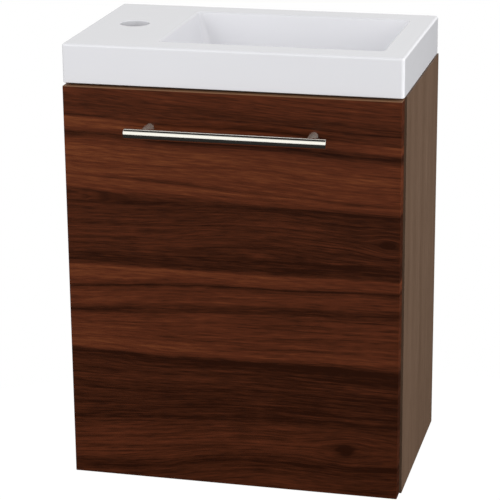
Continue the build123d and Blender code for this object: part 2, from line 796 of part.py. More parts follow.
with BuildPart() as hanger_screws:
    screw_face = Plane.XZ.offset(housing_front)
    depth_points = [(sign * hanger_x, depth_screw_height) for sign in (-1, 1)]
    height_points = [(sign * hanger_x, height_screw_height) for sign in (-1, 1)]
    rods(screw_face, depth_points, hanger_screw / 2, hook_body_front - housing_front)
    rods(screw_face, height_points, hanger_screw / 2, -height_screw_length)
    rods(screw_face, depth_points + height_points, hanger_screw_head / 2,
         hanger_screw_head_height)
save(hanger_screws, "hanger_screws")
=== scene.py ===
"""Wall-hung vanity unit with a one-piece basin: finishes, smooth pieces, camera and light."""

import math

import bpy
import numpy as np
from bpy.props import FloatProperty, FloatVectorProperty, PointerProperty
from bpy.types import Operator, Panel, PropertyGroup
from mathutils import Matrix, Vector


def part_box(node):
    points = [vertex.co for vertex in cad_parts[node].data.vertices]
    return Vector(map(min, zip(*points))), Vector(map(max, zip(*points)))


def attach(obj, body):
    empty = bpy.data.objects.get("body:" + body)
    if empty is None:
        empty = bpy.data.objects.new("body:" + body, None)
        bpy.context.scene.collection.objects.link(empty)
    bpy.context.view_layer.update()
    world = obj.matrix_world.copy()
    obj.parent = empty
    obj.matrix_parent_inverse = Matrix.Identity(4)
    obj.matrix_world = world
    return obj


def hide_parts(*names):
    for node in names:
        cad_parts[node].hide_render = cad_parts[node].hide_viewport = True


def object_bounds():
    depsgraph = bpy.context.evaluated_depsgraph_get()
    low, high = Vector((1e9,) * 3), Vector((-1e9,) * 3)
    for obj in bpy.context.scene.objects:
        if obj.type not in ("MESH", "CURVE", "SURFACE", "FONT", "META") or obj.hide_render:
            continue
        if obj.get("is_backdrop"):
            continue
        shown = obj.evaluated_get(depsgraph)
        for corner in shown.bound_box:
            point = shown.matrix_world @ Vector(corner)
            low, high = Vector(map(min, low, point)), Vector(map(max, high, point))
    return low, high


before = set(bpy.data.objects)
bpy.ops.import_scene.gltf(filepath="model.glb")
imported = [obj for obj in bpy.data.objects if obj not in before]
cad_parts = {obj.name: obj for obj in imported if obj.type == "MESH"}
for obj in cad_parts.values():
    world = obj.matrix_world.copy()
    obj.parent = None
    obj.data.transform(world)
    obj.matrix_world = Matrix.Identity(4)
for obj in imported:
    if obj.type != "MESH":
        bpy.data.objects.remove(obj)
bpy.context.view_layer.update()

bl_info = {
    "name": "Vanity unit with basin",
    "version": (1, 0, 0),
    "blender": (4, 5, 0),
    "location": "3D View > Sidebar > Vanity",
    "description": "Builds the finishes, the basin, the handle and the stage of a wall-hung vanity unit",
    "category": "Object",
}

BASIN_LOW, BASIN_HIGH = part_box("basin")
DOOR_LOW, DOOR_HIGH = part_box("door")
BAR_LOW, BAR_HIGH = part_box("handle_bar")
SEAL_LOW, SEAL_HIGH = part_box("basin_seal")


# Settings

def length(name, description, default):
    """A length property in metres."""
    return FloatProperty(name=name, description=description, default=default, unit="LENGTH",
                         subtype="DISTANCE", precision=4)


def share(name, description, default):
    """A property between 0 and 1."""
    return FloatProperty(name=name, description=description, default=default, min=0.0, max=1.0,
                         subtype="FACTOR")


def colour(name, description, default):
    """A linear RGB colour property."""
    return FloatVectorProperty(name=name, description=description, default=default, size=3,
                               min=0.0, max=1.0, subtype="COLOR")


def spot(name, description, default):
    """A place in metres."""
    return FloatVectorProperty(name=name, description=description, default=default, size=3,
                               subtype="TRANSLATION", unit="LENGTH")


def tilt(name, description, degrees):
    """An angle property, given in degrees."""
    return FloatProperty(name=name, description=description, default=math.radians(degrees),
                         subtype="ANGLE", unit="ROTATION")


def watts(name, description, default):
    """Power of a lamp."""
    return FloatProperty(name=name, description=description, default=default, min=0.0, unit="POWER")


def amount(name, description, default):
    """A strength from zero up."""
    return FloatProperty(name=name, description=description, default=default, min=0.0)


class BasinSettings(PropertyGroup):
    """Sizes and glaze of the one-piece basin."""

    left_land: length("Tap deck", "Width of the flat deck left of the bowl", 0.1065)
    right_land: length("Right rim", "Width of the rim right of the bowl", 0.0295)
    front_land: length("Front rim", "Width of the rim in front of the bowl", 0.034)
    back_land: length("Back rim", "Width of the rim behind the bowl", 0.033)
    bowl_depth: length("Bowl depth", "From the rim down to the bowl's floor", 0.098)
    bowl_draft: tilt("Draft", "Slope of the bowl's walls", 14.0)
    bowl_corner: length("Bowl corner", "Corner radius of the bowl at the rim", 0.006)
    floor_corner: length("Floor corner", "Corner radius of the bowl at its floor", 0.016)
    floor_fillet: length("Floor fillet", "Radius between the walls and the floor", 0.014)
    bowl_wall: length("Bowl wall", "Thickness of the bowl's walls and floor", 0.010)
    lip: length("Bowl lip", "Radius of the bowl's soft upper edge", 0.0035)
    deck: length("Deck thickness", "Thickness of the flat deck", 0.012)
    side_skirt: length("Side skirt", "Thickness of the skirt at the left and the right", 0.014)
    front_skirt: length("Front skirt", "Thickness of the skirt at the front", 0.030)
    back_skirt: length("Back skirt", "Thickness of the skirt at the wall", 0.024)
    base_edge: length("Base edge", "Radius of the basin's lower outer edge", 0.001)
    rim_edge: length("Rim edge", "Radius of the basin's upper outer edge", 0.003)
    rim_corner: length("Rim corner", "Corner radius of the basin seen from above", 0.004)
    tap_hole: length("Tap hole", "Diameter of the hole in the deck", 0.035)
    tap_edge: length("Tap hole edge", "Radius of the tap hole's soft edge", 0.0012)
    tap_place: length("Tap place", "From the basin's left edge to the middle of the tap hole", 0.050)
    tap_back: length("Tap from wall", "From the wall to the middle of the tap hole", 0.1175)
    waste_hole: length("Waste hole", "Diameter of the hole in the floor", 0.046)
    waste_seat: length("Waste seat", "Diameter of the round recess around the waste hole", 0.066)
    seat_depth: length("Seat depth", "Depth of the round recess", 0.002)
    seat_edge: length("Seat edge", "Radius of the recess's soft edge", 0.001)
    waste_boss: length("Waste boss", "Diameter of the boss under the waste hole", 0.078)
    glaze: colour("Glaze", "Colour of the white gloss surface", (0.80, 0.80, 0.83))
    gloss: share("Roughness", "Roughness of the gloss surface", 0.14)


class WoodSettings(PropertyGroup):
    """Colours of the walnut décor on door and carcass, with a painted highlight on the door's top edge and a
    painted sheen greying the carcass.
    """

    dark: colour("Dark streaks", "Colour of the darkest grain lines", (0.0220, 0.0048, 0.0012))
    deep: colour("Dark wood", "Colour of the dark bands", (0.0500, 0.0119, 0.0037))
    middle: colour("Wood", "Colour of the ordinary wood", (0.0974, 0.0222, 0.0075))
    light: colour("Light wood", "Colour of the lightest bands", (0.212, 0.0612, 0.0184))
    # Door edge colour: a painted highlight, the lighter tan of the door's top edge as if lit from above.
    edge: colour("Door edge", "Colour of the door's top edge band", (0.200, 0.100, 0.050))
    # Carcass colours: walnut décor, greyed and lightened by a painted sheen of the bright room seen on the
    # side panels at a grazing angle.
    carcass_dark_with_sheen: colour("Carcass dark", "Darker streaks of the side panels", (0.0990, 0.0585, 0.0354))
    carcass_light_with_sheen: colour("Carcass light", "Lighter wood of the side panels", (0.154, 0.0970, 0.0644))
    roughness: share("Roughness", "Roughness of the satin foil", 0.42)
    waviness: length("Waviness", "How far the grain lines wander from straight", 0.012)


class MetalSettings(PropertyGroup):
    """Colours of the metal parts."""

    satin: colour("Handle steel", "Colour of the satin handle", (0.92, 0.89, 0.80))
    nickel: colour("Hinge nickel", "Colour of the plated hinges", (0.60, 0.59, 0.56))
    zinc: colour("Zinc", "Colour of screws, bolts, plates and hooks", (0.55, 0.56, 0.57))
    satin_roughness: share("Handle roughness", "Roughness of the satin handle", 0.14)
    plated_roughness: share("Plated roughness", "Roughness of the plated parts", 0.32)
    zinc_dulling: share("Zinc dulling", "How much rougher zinc is than nickel", 0.06)
    post_metallic: share("Post metal", "Metallic part of the handle posts' finish", 0.80)
    bar_edge: length("Bar edge", "Radius of the edges at the bar's ends", 0.0006)


class StageSettings(PropertyGroup):
    """Camera, lamps, room light and floor."""

    camera_place: spot("Camera place", "Where the camera stands", (0.5689, -2.4748, 0.5950))
    yaw: tilt("Yaw", "How far the camera looks to the left", 13.79)
    pitch: tilt("Pitch", "How far the camera looks down", 17.72)
    roll: tilt("Roll", "Tilt of the camera around its view", -0.498)
    lens: FloatProperty(name="Lens", description="Focal length on a 36 mm sensor", default=150.26,
                        unit="CAMERA")
    lamp_aim: spot("Lamp aim", "The point that every lamp faces", (0.0, -0.14, -0.15))
    key_place: spot("Key lamp place", "Where the large lamp in front stands", (-0.9, -2.3, 0.75))
    key_size: length("Key lamp size", "Side of the large lamp in front", 1.5)
    key_power: watts("Key lamp", "Power of the large lamp in front", 19.2)
    fill_place: spot("Fill lamp place", "Where the high lamp at the right stands", (2.0, -0.3, 0.9))
    fill_size: length("Fill lamp size", "Side of the high lamp at the right", 1.0)
    fill_power: watts("Fill lamp", "Power of the high lamp at the right", 12.0)
    side_place: spot("Side lamp place", "Where the low lamp at the right stands", (1.5, -0.3, -0.15))
    side_size: length("Side lamp size", "Side of the low lamp at the right", 0.45)
    side_power: watts("Side lamp", "Power of the low lamp at the right", 7.6)
    ambient: amount("Room light", "Strength of the light from all around", 0.72)
    bright: amount("Bright reflections", "Strength of the wall in front", 1.05)
    behind: amount("Rear reflections", "Strength of the room behind the unit", 0.78)
    dim: share("Dark reflections", "Strength of the room below and high above in reflections", 0.02)
    floor_radius: length("Floor radius", "Radius of the round floor", 1.2)
    floor_drop: length("Floor drop", "From the unit's bottom edge down to the floor", 0.40)
    floor_shade: share("Floor shade", "Lightness of the floor under the lamps", 0.14)
    floor_glow: amount("Floor glow", "Strength of the floor's white to the eye", 1.18)
    floor_white: share("Floor white", "Part of that white in what the eye sees", 0.85)


class VanitySettings(PropertyGroup):
    """All the settings of the vanity unit."""

    basin: PointerProperty(type=BasinSettings)
    wood: PointerProperty(type=WoodSettings)
    metal: PointerProperty(type=MetalSettings)
    stage: PointerProperty(type=StageSettings)


# Wiring of shader nodes

class Wiring:
    """Puts nodes into one node tree and links them."""

    def __init__(self, tree):
        self.tree = tree
        self.column = 0

    def node(self, kind, inputs=None, **settings):
        """One node: its inputs are given by name, as a value or as a socket to link."""
        made = self.tree.nodes.new(kind)
        made.location = (self.column, 0)
        self.column += 180
        for name, value in settings.items():
            setattr(made, name, value)
        for name, value in (inputs or {}).items():
            self.set(made.inputs[name], value)
        return made

    def set(self, socket, value):
        """Links a socket, or sets its value."""
        if isinstance(value, bpy.types.NodeSocket):
            self.tree.links.new(value, socket)
        else:
            socket.default_value = value

    def math(self, operation, *values, clamp=False):
        """The result of one step of arithmetic."""
        made = self.node("ShaderNodeMath", dict(enumerate(values)), operation=operation,
                         use_clamp=clamp)
        return made.outputs[0]

    def shifted(self, tone, *parts):
        """A tone moved by each value's distance from 0.5, times the value's weight."""
        for value, weight in parts:
            part = self.math("MULTIPLY", self.math("SUBTRACT", value, 0.5), weight)
            tone = self.math("ADD", tone, part)
        return tone

    def remap(self, value, low, high, to_low=0.0, to_high=1.0, smooth=False):
        """A value carried from one range to another and held within it."""
        kind = "SMOOTHSTEP" if smooth else "LINEAR"
        made = self.node("ShaderNodeMapRange", {"Value": value, "From Min": low, "From Max": high,
                                                "To Min": to_low, "To Max": to_high},
                         interpolation_type=kind)
        return made.outputs["Result"]

    def noise(self, vector, detail=2.0, roughness=0.5, distortion=0.0):
        """Smooth noise around 0.5 at a place that is already scaled."""
        made = self.node("ShaderNodeTexNoise", {"Vector": vector, "Scale": 1.0, "Detail": detail,
                                                "Roughness": roughness, "Distortion": distortion})
        return made.outputs["Fac"]

    def scaled(self, vector, scale, offset=(0.0, 0.0, 0.0)):
        """A place multiplied axis by axis, then moved."""
        made = self.node("ShaderNodeVectorMath", {0: vector, 1: scale, 2: offset},
                         operation="MULTIPLY_ADD")
        return made.outputs["Vector"]

    def split(self, vector):
        """The three parts of a vector."""
        return self.node("ShaderNodeSeparateXYZ", {"Vector": vector}).outputs

    def join(self, x, y, z):
        """A vector from three parts."""
        return self.node("ShaderNodeCombineXYZ", {"X": x, "Y": y, "Z": z}).outputs["Vector"]

    def oval(self, x, y):
        """Distance from the middle on a plane where X counts for less, so that rings are long ovals."""
        flat = self.join(self.math("MULTIPLY", x, 0.55), y, 0.0)
        return self.node("ShaderNodeVectorMath", {0: flat}, operation="LENGTH").outputs["Value"]

    def ramp(self, value, stops):
        """A colour from a list of (position, colour)."""
        made = self.node("ShaderNodeValToRGB", {"Fac": value})
        elements = made.color_ramp.elements
        while len(elements) < len(stops):
            elements.new(0.5)
        for element, (position, shade) in zip(elements, stops):
            element.position = position
            element.color = (*shade, 1.0)
        return made.outputs["Color"]

    def curve(self, value, points, sharp=False):
        """A value read from a curve through a list of (position, height), all from 0 to 1."""
        made = self.node("ShaderNodeFloatCurve", {"Value": value})
        curve = made.mapping.curves[0]
        for position, height in points[1:-1]:
            curve.points.new(position, height)
        for point, place in zip(curve.points, points):
            point.location = place
            point.handle_type = "VECTOR" if sharp else "AUTO_CLAMPED"
        made.mapping.update()
        return made.outputs["Value"]

    def mix(self, factor, first, second):
        """A blend of two colours."""
        made = self.node("ShaderNodeMix", {"Factor": factor}, data_type="RGBA")
        self.set(made.inputs[6], first)
        self.set(made.inputs[7], second)
        return made.outputs[2]

    def bump(self, height, distance, strength=1.0):
        """A normal from a height in metres times the distance."""
        return self.node("ShaderNodeBump", {"Height": height, "Distance": distance,
                                            "Strength": strength}).outputs["Normal"]


def effect(name, inputs, outputs, build):
    """A shader node group built once: build gets the wiring and the group's input sockets."""
    found = bpy.data.node_groups.get(name)
    if found:
        return found
    tree = bpy.data.node_groups.new(name, "ShaderNodeTree")
    for label, kind, default in inputs:
        socket = tree.interface.new_socket(label, in_out="INPUT", socket_type=f"NodeSocket{kind}")
        socket.default_value = default
    for label, kind in outputs:
        tree.interface.new_socket(label, in_out="OUTPUT", socket_type=f"NodeSocket{kind}")
    wiring = Wiring(tree)
    start = wiring.node("NodeGroupInput")
    end = wiring.node("NodeGroupOutput")
    for label, value in build(wiring, start.outputs).items():
        wiring.set(end.inputs[label], value)
    return tree


def use(wiring, tree, inputs):
    """Places an effect in a material and returns its outputs."""
    made = wiring.node("ShaderNodeGroup", node_tree=tree)
    for label, value in inputs.items():
        wiring.set(made.inputs[label], value)
    return made.outputs


def grain_effect():
    """Wood grain in a place whose X runs along the grain, Y across it and Z into the board.

    The scales are waves per metre along those axes, from wide bands to pores.
    """
    def build(wiring, given):
        place = given["Place"]
        x, y, z = wiring.split(place)
        wander = wiring.noise(wiring.scaled(place, (2.4, 8.0, 8.0)), detail=2.0)
        ripple = wiring.noise(wiring.scaled(place, (11.0, 45.0, 45.0), (3.0, 7.0, 1.0)), detail=2.0)
        wide = wiring.math("MULTIPLY", given["Waviness"], 2.0)
        small = wiring.math("MULTIPLY", given["Waviness"], 0.16)
        across = wiring.shifted(y, (wander, wide), (ripple, small))
        bent = wiring.join(x, across, z)
        bands = wiring.noise(wiring.scaled(bent, (1.1, 42.0, 14.0)), detail=3.0, roughness=0.6)
        streaks = wiring.noise(wiring.scaled(bent, (9.0, 230.0, 60.0), (5.0, 0.0, 2.0)), detail=4.0,
                               roughness=0.62)
        veins = wiring.noise(wiring.scaled(bent, (1.6, 95.0, 30.0), (9.0, 2.0, 4.0)), detail=1.0)
        veins = wiring.math("ABSOLUTE", wiring.math("SUBTRACT", veins, 0.5))
        fibre = wiring.noise(wiring.scaled(bent, (45.0, 620.0, 400.0)), detail=2.0)
        flecks = wiring.noise(wiring.scaled(bent, (55.0, 1500.0, 1100.0), (0.0, 9.0, 4.0)), detail=1.0)
        return {
            "Across": across,
            "Bands": bands,
            "Streaks": wiring.remap(streaks, 0.34, 0.66),
            "Veins": wiring.remap(veins, 0.0, 0.030, 1.0, 0.0, smooth=True),
            "Fibre": fibre,
            "Pores": wiring.remap(flecks, 0.60, 0.72, smooth=True),
        }

    return effect("Wood grain", [("Place", "Vector", (0.0, 0.0, 0.0)), ("Waviness", "Float", 0.01)],
                  [("Across", "Float"), ("Bands", "Float"), ("Streaks", "Float"), ("Veins", "Float"),
                   ("Fibre", "Float"), ("Pores", "Float")], build)


def knot_effect():
    """A knot: grain lines are drawn round its centre, and its heart is dark."""
    def build(wiring, given):
        away = wiring.node("ShaderNodeVectorMath", {0: given["Place"], 1: given["Centre"]},
                           operation="SUBTRACT").outputs["Vector"]
        x, y, _ = wiring.split(away)
        reach = wiring.math("DIVIDE", wiring.oval(x, y), given["Size"])
        near = wiring.math("EXPONENT", wiring.math("MULTIPLY", wiring.math("POWER", reach, 2.0), -1.0))
        heart = wiring.math("EXPONENT", wiring.math("MULTIPLY", wiring.math("POWER", reach, 2.0), -9.0))
        shift = wiring.math("MULTIPLY", wiring.math("MULTIPLY", y, near), -0.85)
        return {"Shift": shift, "Heart": heart}

    return effect("Wood knot", [("Place", "Vector", (0.0, 0.0, 0.0)),
                                ("Centre", "Vector", (0.0, 0.0, 0.0)), ("Size", "Float", 0.02)],
                  [("Shift", "Float"), ("Heart", "Float")], build)


def brushed_effect():
    """Fine brushed lines along X of a place, with faint cloudiness for roughness."""
    def build(wiring, given):
        lines = wiring.noise(wiring.scaled(given["Place"], (40.0, 5200.0, 5200.0)), detail=2.0)
        cloud = wiring.noise(wiring.scaled(given["Place"], (60.0, 60.0, 60.0)), detail=3.0)
        rough = wiring.shifted(given["Roughness"], (lines, 0.16), (cloud, 0.10))
        return {"Roughness": rough, "Height": lines}

    return effect("Brushed metal", [("Place", "Vector", (0.0, 0.0, 0.0)), ("Roughness", "Float", 0.3)],
                  [("Roughness", "Float"), ("Height", "Float")], build)


# Materials

def material(name, build):
    """A material with one Principled surface: build returns its socket values."""
    found = bpy.data.materials.get(name)
    if found:
        return found
    made = bpy.data.materials.new(name)
    made.use_nodes = True
    made.node_tree.nodes.clear()
    wiring = Wiring(made.node_tree)
    place = wiring.node("ShaderNodeTexCoord").outputs["Object"]
    values = build(wiring, place)
    surface = wiring.node("ShaderNodeBsdfPrincipled", values)
    wiring.node("ShaderNodeOutputMaterial", {"Surface": surface.outputs["BSDF"]})
    return made


def opaque(shade):
    """A colour property as an RGBA value."""
    return (*shade, 1.0)


def gloss_white(settings):
    """Cast gloss white: an even, slightly cool glaze whose surface is a little uneven."""
    def build(wiring, place):
        cloud = wiring.noise(wiring.scaled(place, (9.0, 9.0, 9.0)), detail=2.0)
        skin = wiring.noise(wiring.scaled(place, (55.0, 55.0, 55.0)), detail=2.0)
        shade = wiring.mix(wiring.remap(cloud, 0.3, 0.7, 0.0, 0.6), opaque(settings.glaze),
                           opaque([part * 0.975 for part in settings.glaze]))
        rough = wiring.remap(cloud, 0.3, 0.7, settings.gloss - 0.02, settings.gloss + 0.03)
        return {"Base Color": shade, "Roughness": rough, "IOR": 1.5, "Coat Weight": 0.25,
                "Coat Roughness": 0.06, "Normal": wiring.bump(skin, 0.00012, 0.35)}

    return material("gloss white", build)


def sealant():
    """Soft sealant bead."""
    def build(wiring, place):
        lumps = wiring.noise(wiring.scaled(place, (300.0, 300.0, 300.0)), detail=2.0)
        return {"Base Color": (0.74, 0.74, 0.72, 1.0), "Roughness": wiring.remap(lumps, 0.3, 0.7, 0.4, 0.6),
                "Normal": wiring.bump(lumps, 0.0002)}

    return material("sealant bead", build)


# The door's wood from top to bottom: lightness of the bands, how the lines slope down to the right
# (0.5 is level), and how far they arch up in a hump. Positions and values run from 0 to 1.
DOOR_BANDS = [
    (0.000, 0.38), (0.030, 0.36), (0.050, 0.28), (0.085, 0.34), (0.092, 0.14), (0.097, 0.62),
    (0.114, 0.54), (0.124, 0.26), (0.131, 0.10), (0.140, 0.30), (0.152, 0.52), (0.180, 0.60),
    (0.215, 0.48), (0.231, 0.52), (0.237, 0.22), (0.243, 0.52), (0.266, 0.44), (0.276, 0.34),
    (0.283, 0.08), (0.300, 0.20), (0.330, 0.15), (0.350, 0.24), (0.400, 0.20), (0.436, 0.13),
    (0.447, 0.22), (0.453, 0.58), (0.474, 0.50), (0.484, 0.30), (0.489, 0.00), (0.495, 0.34),
    (0.512, 0.46), (0.535, 0.38), (0.546, 0.06), (0.556, 0.32), (0.578, 0.46), (0.620, 0.40),
    (0.655, 0.50), (0.663, 0.38), (0.672, 0.02), (0.690, 0.12), (0.730, 0.20), (0.780, 0.14),
    (0.820, 0.18), (0.828, 0.06), (0.845, 0.26), (0.900, 0.30), (0.930, 0.24), (0.948, 0.06),
    (0.965, 0.20), (1.000, 0.26),
]
DOOR_SLOPES = [
    (0.00, 0.95), (0.07, 0.80), (0.12, 0.72), (0.25, 0.74), (0.29, 0.40), (0.44, 0.50),
    (0.50, 0.30), (0.56, 0.27), (0.66, 0.50), (0.75, 0.44), (0.83, 0.34), (0.93, 0.15), (1.00, 0.20),
]
DOOR_ARCHES = [
    (0.00, 0.00), (0.08, 0.10), (0.15, 0.16), (0.24, 0.05), (0.29, 0.35), (0.36, 0.40), (0.43, 0.05),
    (0.60, 0.00), (0.68, 0.10), (0.86, 0.15), (0.95, 0.45), (1.00, 0.40),
]
SLOPE_SPAN = 0.20
HUMP_MIDDLE, HUMP_WIDTH, HUMP_HEIGHT = 0.03, 0.10, 0.026
# Centre of each knot on the plane of X and Z, and its size.
KNOTS = [((0.137, -0.3775, 0.0), 0.017), ((0.184, -0.121, 0.0), 0.012)]


def walnut_front(settings):
    """Dark walnut with the grain lying across the door: banded, arched, with two small knots, and a painted
    highlight on its top edge.
    """
    def build(wiring, place):
        x, y, z = wiring.split(place)
        height = DOOR_HIGH.z - DOOR_LOW.z
        down = wiring.math("DIVIDE", wiring.math("SUBTRACT", DOOR_HIGH.z, z), height)
        slope = wiring.remap(wiring.curve(down, DOOR_SLOPES), 0.0, 1.0, -SLOPE_SPAN / 2, SLOPE_SPAN / 2)
        arch = wiring.math("MULTIPLY", wiring.curve(down, DOOR_ARCHES), HUMP_HEIGHT)
        beside = wiring.math("DIVIDE", wiring.math("SUBTRACT", x, HUMP_MIDDLE), HUMP_WIDTH)
        middle = wiring.math("POWER", beside, 2.0)
        hump = wiring.math("MULTIPLY", arch, wiring.math("EXPONENT", wiring.math("MULTIPLY", middle, -1.0)))
        level = wiring.math("SUBTRACT", wiring.math("ADD", z, wiring.math("MULTIPLY", slope, x)), hump)
        flat = wiring.join(x, z, 0.0)
        heart = None
        for centre, size in KNOTS:
            knot = use(wiring, knot_effect(), {"Place": flat, "Centre": centre, "Size": size})
            level = wiring.math("ADD", level, knot["Shift"])
            heart = knot["Heart"] if heart is None else wiring.math("MAXIMUM", heart, knot["Heart"])
        grain = use(wiring, grain_effect(), {"Place": wiring.join(x, level, y),
                                             "Waviness": settings.waviness})
        line = wiring.math("DIVIDE", wiring.math("SUBTRACT", DOOR_HIGH.z, grain["Across"]), height)
        tone = wiring.curve(line, DOOR_BANDS, sharp=True)
        tone = wiring.shifted(tone, (grain["Bands"], 0.28), (grain["Streaks"], 0.28), (grain["Fibre"], 0.60))
        tone = wiring.math("SUBTRACT", tone, wiring.math("MULTIPLY", grain["Veins"], 0.10))
        tone = wiring.math("SUBTRACT", tone, wiring.math("MULTIPLY", grain["Pores"], 0.16))
        tone = wiring.math("SUBTRACT", tone, wiring.math("MULTIPLY", heart, 0.55))
        tone = wiring.math("SUBTRACT", tone, wiring.math("MULTIPLY", x, 0.30), clamp=True)
        shade = wiring.ramp(tone, [(0.0, settings.dark), (0.22, settings.deep), (0.50, settings.middle),
                                   (1.0, settings.light)])
        # Painted highlight: the top millimetre of the door is blended to the lighter edge colour, as if lit
        # from above.
        highlight = wiring.remap(z, DOOR_HIGH.z - 0.0010, DOOR_HIGH.z - 0.0003, smooth=True)
        shade = wiring.mix(highlight, shade, opaque(settings.edge))
        rough = wiring.math("SUBTRACT", settings.roughness, wiring.math("MULTIPLY", grain["Fibre"], 0.12))
        relief = wiring.math("SUBTRACT", grain["Fibre"], grain["Pores"])
        return {"Base Color": shade, "Roughness": rough, "IOR": 1.45, "Specular IOR Level": 0.12,
                "Normal": wiring.bump(relief, 0.00008, 0.5)}

    return material("walnut door front", build)


def walnut_board(settings, name, upright):
    """Plainer walnut décor of the carcass, greyed and lightened by a painted sheen, with the grain upright
    or lying along X.
    """
    def build(wiring, place):
        x, y, z = wiring.split(place)
        turned = wiring.join(z, y, x) if upright else wiring.join(x, wiring.math("ADD", z, y), y)
        grain = use(wiring, grain_effect(), {"Place": turned, "Waviness": settings.waviness * 0.5})
        tone = wiring.shifted(0.5, (grain["Bands"], 1.00), (grain["Streaks"], 0.34), (grain["Fibre"], 0.60))
        tone = wiring.math("SUBTRACT", tone, wiring.math("MULTIPLY", grain["Pores"], 0.20), clamp=True)
        # Walnut tones that carry a painted sheen: greyer and lighter than the door's walnut.
        shade = wiring.ramp(tone, [(0.15, settings.carcass_dark_with_sheen), (0.80, settings.carcass_light_with_sheen)])
        rough = wiring.remap(grain["Fibre"], 0.0, 1.0, settings.roughness + 0.04, settings.roughness - 0.06)
        return {"Base Color": shade, "Roughness": rough, "IOR": 1.45, "Specular IOR Level": 0.12,
                "Normal": wiring.bump(grain["Fibre"], 0.00006, 0.4)}

    return material(name, build)


def plain_wood():
    """Pale turned hardwood of the dowels."""
    def build(wiring, place):
        grain = use(wiring, grain_effect(), {"Place": place, "Waviness": 0.002})
        shade = wiring.ramp(grain["Streaks"], [(0.3, (0.38, 0.24, 0.13)), (0.7, (0.60, 0.43, 0.26))])
        return {"Base Color": shade, "Roughness": wiring.remap(grain["Fibre"], 0.3, 0.7, 0.55, 0.75),
                "Normal": wiring.bump(grain["Fibre"], 0.0001)}

    return material("beech", build)


def brushed(name, shade, roughness, metallic=1.0):
    """Metal with fine lines along X."""
    def build(wiring, place):
        lines = use(wiring, brushed_effect(), {"Place": place, "Roughness": roughness})
        return {"Base Color": opaque(shade), "Metallic": metallic, "Roughness": lines["Roughness"],
                "Normal": wiring.bump(lines["Height"], 0.000002, 0.4)}

    return material(name, build)


def plated(name, shade, roughness):
    """Plated metal: even, with faint clouds of dulling and tiny pits."""
    def build(wiring, place):
        cloud = wiring.noise(wiring.scaled(place, (140.0, 140.0, 140.0)), detail=3.0)
        pits = wiring.noise(wiring.scaled(place, (1400.0, 1400.0, 1400.0)), detail=1.0)
        tone = wiring.mix(wiring.remap(cloud, 0.35, 0.65), opaque(shade),
                          opaque([part * 0.82 for part in shade]))
        return {"Base Color": tone, "Metallic": 1.0,
                "Roughness": wiring.remap(cloud, 0.3, 0.7, roughness - 0.07, roughness + 0.10),
                "Normal": wiring.bump(pits, 0.00002, 0.5)}

    return material(name, build)


def moulded(name, shade, roughness):
    """Moulded plastic or rubber with a fine spark-eroded skin."""
    def build(wiring, place):
        skin = wiring.noise(wiring.scaled(place, (2600.0, 2600.0, 2600.0)), detail=1.0)
        cloud = wiring.noise(wiring.scaled(place, (45.0, 45.0, 45.0)), detail=2.0)
        tone = wiring.mix(wiring.remap(cloud, 0.35, 0.65), opaque(shade),
                          opaque([part * 0.93 for part in shade]))
        rough = wiring.remap(skin, 0.3, 0.7, roughness - 0.05, roughness + 0.05)
        return {"Base Color": tone, "Roughness": rough, "Normal": wiring.bump(skin, 0.00004, 0.5)}

    return material(name, build)


def dress(finish, *nodes):
    """Gives frame nodes a finish."""
    for name in nodes:
        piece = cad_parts[name]
        piece.data.materials.clear()
        piece.data.materials.append(finish)


# Surfaces

def mesh_object(name, points, faces, finish):
    """A smooth-shaded object at the origin from arrays of points and faces."""
    mesh = bpy.data.meshes.new(name)
    mesh.from_pydata(points.reshape(-1, 3).tolist(), [], faces.tolist())
    mesh.validate()
    mesh.shade_smooth()
    mesh.materials.append(finish)
    made = bpy.data.objects.new(name, mesh)
    bpy.context.scene.collection.objects.link(made)
    return made


def grid_faces(rows, columns, close_rows=False, close_columns=False):
    """Quads of a grid of points, counted row by row, that may close on itself either way."""
    row = np.arange(rows if close_rows else rows - 1)
    column = np.arange(columns if close_columns else columns - 1)
    i, j = np.meshgrid(row, column, indexing="ij")
    next_i, next_j = (i + 1) % rows, (j + 1) % columns
    corners = np.stack([i * columns + j, i * columns + next_j, next_i * columns + next_j,
                        next_i * columns + j], -1)
    return corners.reshape(-1, 4)


def arc(centre_a, centre_b, radius, start, end, steps):
    """Points of a circular arc in a plane, from a start to an end angle in degrees."""
    angle = np.radians(np.linspace(start, end, steps + 1))
    return np.stack([centre_a + radius * np.cos(angle), centre_b + radius * np.sin(angle)], -1)


def rings(table, corner_steps=12, side_steps=8):
    """Rounded rectangles, one per row of the table (centre x, y, half x, half y, corner, z).

    Each corner is a quarter circle around the point (half - corner) from the centre, and the sides
    between corners are straight. Where both halves equal the corner radius, the ring is a circle
    with its points spaced evenly.
    """
    cx, cy, hx, hy, radius, z = (part[:, None] for part in np.asarray(table, float).T)
    quarter = corner_steps + side_steps
    step = np.arange(4 * quarter)
    corner, along = step // quarter, step % quarter
    turn = np.radians(90.0) * (corner + np.minimum(along, corner_steps) / corner_steps)
    sign_x, sign_y = np.array([1, -1, -1, 1])[corner], np.array([1, 1, -1, -1])[corner]
    arc_x = sign_x * (hx - radius) + radius * np.cos(turn)
    arc_y = sign_y * (hy - radius) + radius * np.sin(turn)
    part = np.maximum(along - corner_steps, 0) / side_steps
    first = (step // quarter) * quarter + corner_steps
    last = ((corner + 1) % 4) * quarter
    x = np.where(part > 0, arc_x[:, first] * (1 - part) + arc_x[:, last] * part, arc_x)
    y = np.where(part > 0, arc_y[:, first] * (1 - part) + arc_y[:, last] * part, arc_y)
    even = 2 * np.pi * (step - corner_steps / 2) / (4 * quarter) + np.pi / 4
    circle = np.isclose(hx, radius) & np.isclose(hy, radius)
    x = np.where(circle, radius * np.cos(even), x)
    y = np.where(circle, radius * np.sin(even), y)
    return np.stack([cx + x, cy + y, z + 0 * x], -1)


